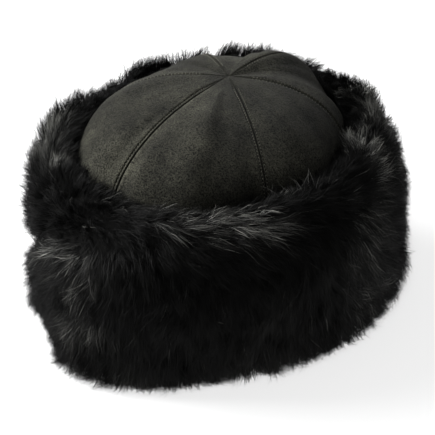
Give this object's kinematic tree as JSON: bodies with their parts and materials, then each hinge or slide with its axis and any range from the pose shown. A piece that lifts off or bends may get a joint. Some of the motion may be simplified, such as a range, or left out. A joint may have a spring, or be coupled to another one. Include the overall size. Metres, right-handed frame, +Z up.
{
  "type": "fur hat",
  "caption": "Round winter hat with a domed suede crown sewn from gores and a deep turned-up cuff of long black fur.",
  "frame": {"origin": "centre of the hat's outline on the surface it stands on", "axes": "+Z up through the crown, -Y towards the front of the hat, +X towards its left side, as worn"},
  "size_m": [0.2556, 0.2918, 0.1659],
  "materials": {
    "suede": "matt dark grey-olive suede with a soft nap",
    "fur": "long black fur with a soft sheen"
  },
  "bodies": {
    "root": {"gore_front_left": "suede", "gore_side_left": "suede", "gore_back_left": "suede", "gore_back_right": "suede", "gore_side_right": "suede", "gore_front_right": "suede", "fur_cuff": "fur"}
  },
  "joints": []
}
